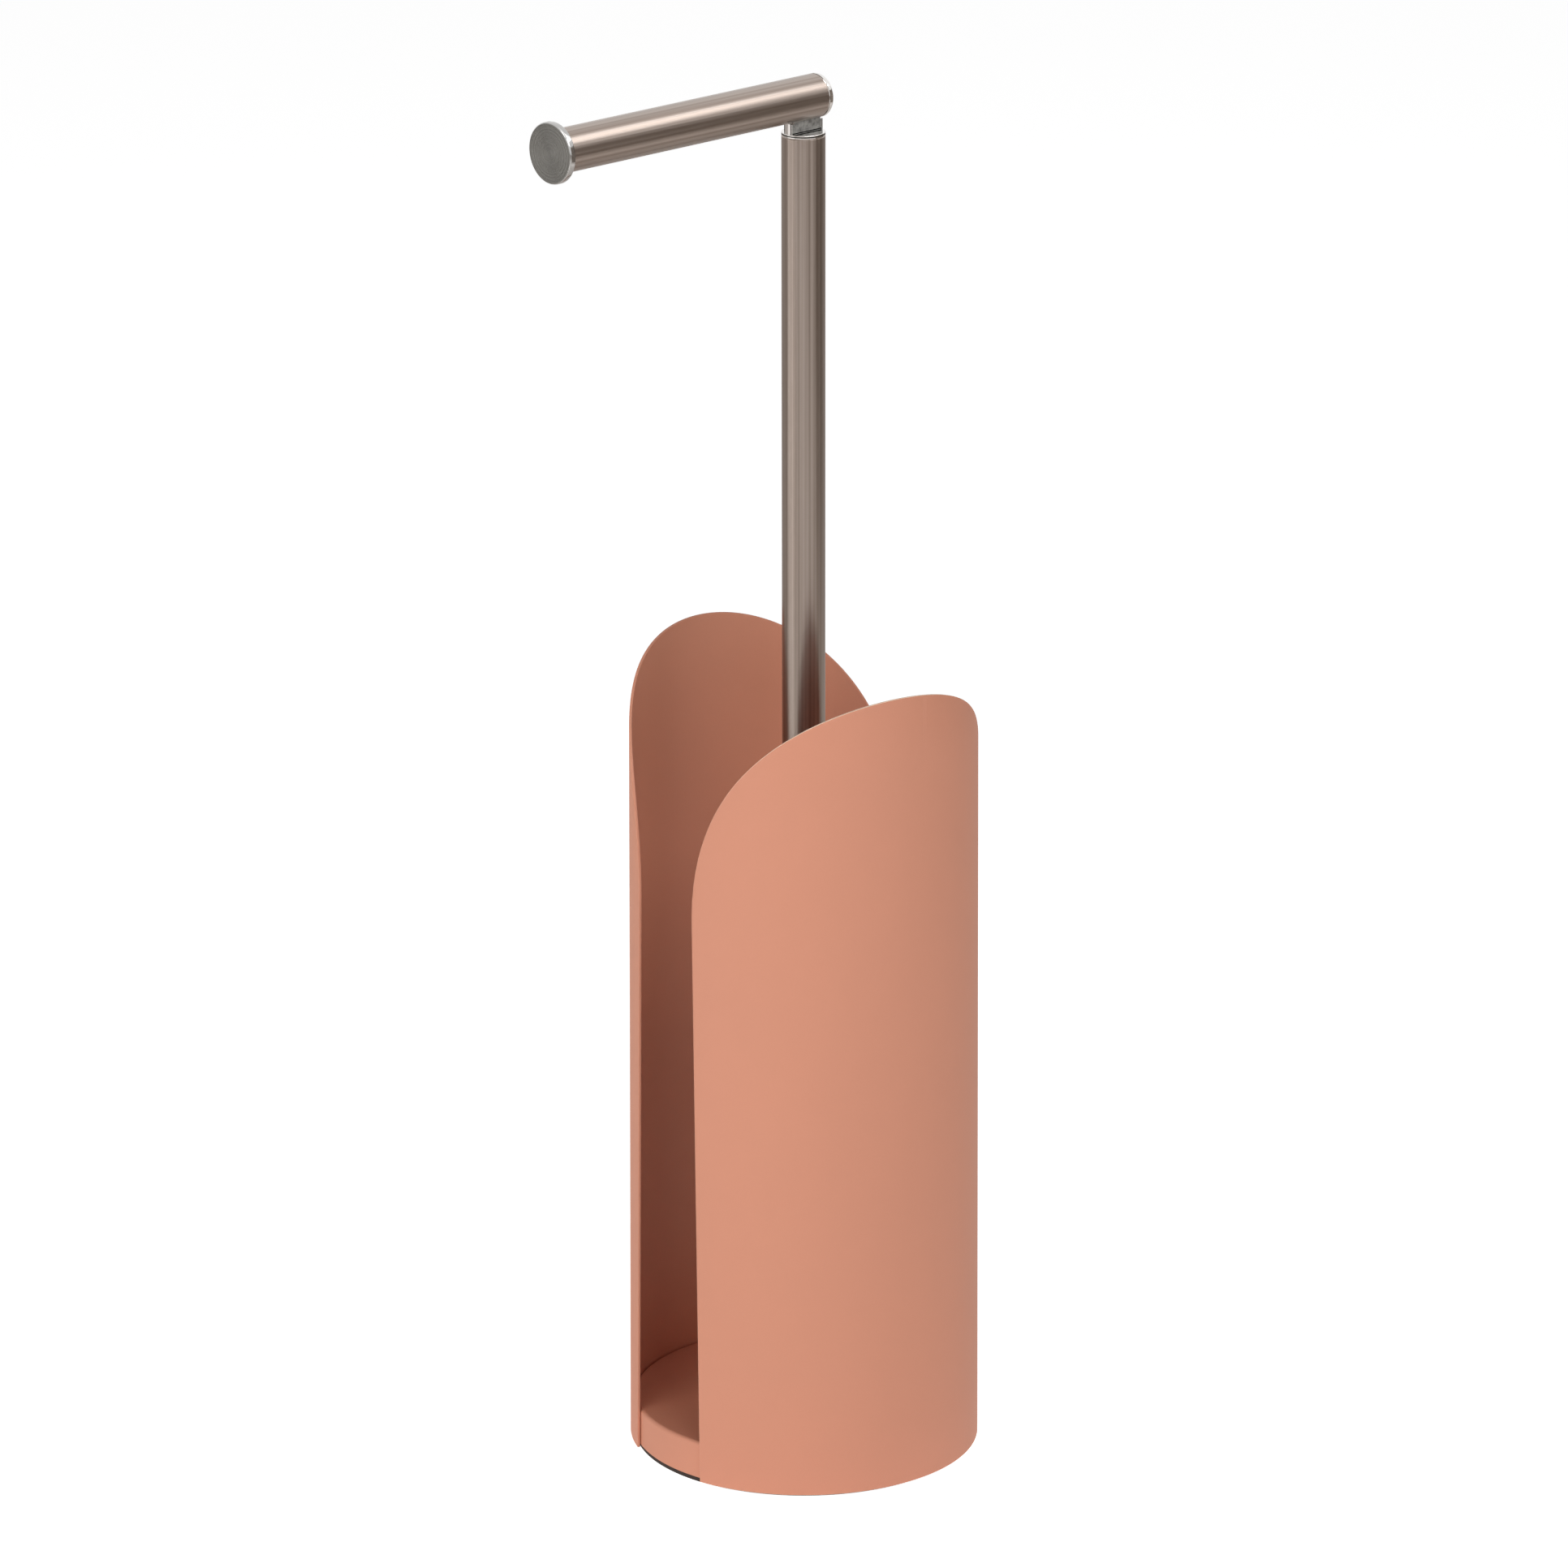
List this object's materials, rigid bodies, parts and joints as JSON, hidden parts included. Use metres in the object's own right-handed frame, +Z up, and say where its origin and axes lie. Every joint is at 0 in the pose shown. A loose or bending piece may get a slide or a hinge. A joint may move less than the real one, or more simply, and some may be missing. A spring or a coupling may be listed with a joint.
{
  "type": "toilet roll holder",
  "caption": "Free-standing toilet roll holder: arched sheet panels on a weighted round base, tube post and tip-up roll arm with a flat end cap.",
  "frame": {"origin": "on the floor, at the middle of the foot pad's underside, on the axis of the post", "axes": "+Z up along the post; -X along the roll arm at rest; +Y completes the right-handed frame and is the axis of the hinge pin"},
  "size_m": [0.21, 0.148, 0.5954],
  "materials": {
    "powder_coat": "satin powder coat, peach terracotta",
    "ballast_steel": "rough grey",
    "plated_steel": "zinc plated",
    "brushed_steel": "brushed stainless, warm grey",
    "polished_steel": "polished",
    "spun_steel": "face spun, edge polished",
    "cast_zinc": "cast, matt grey",
    "cover_plastic": "moulded, matt",
    "foot_rubber": "soft pad, dark brown",
    "washer_plastic": "plain"
  },
  "bodies": {
    "stand": {"front_panel": "powder_coat", "rear_panel": "powder_coat", "panel_studs": "plated_steel", "panel_nuts": "plated_steel", "base_pan": "powder_coat", "base_weight": "ballast_steel", "bottom_cover": "cover_plastic", "cover_screws": "plated_steel", "foot_pad": "foot_rubber", "post_bolt": "plated_steel", "spring_washer": "plated_steel", "flat_washer": "plated_steel", "post_insert": "plated_steel", "post_tube": "brushed_steel", "post_collar": "polished_steel", "hinge_tongue": "cast_zinc"},
    "arm": {"hinge_pin": "plated_steel", "friction_washers": "washer_plastic", "arm_clevis": "polished_steel", "arm_tube": "brushed_steel", "tip_cap": "spun_steel"}
  },
  "joints": [
    {"name": "arm_lift", "type": "hinge", "parent": "stand", "child": "arm", "pos_m": [0, 0, 0.5829], "axis": [0, 1, 0], "range_deg": [0, 90]}
  ]
}
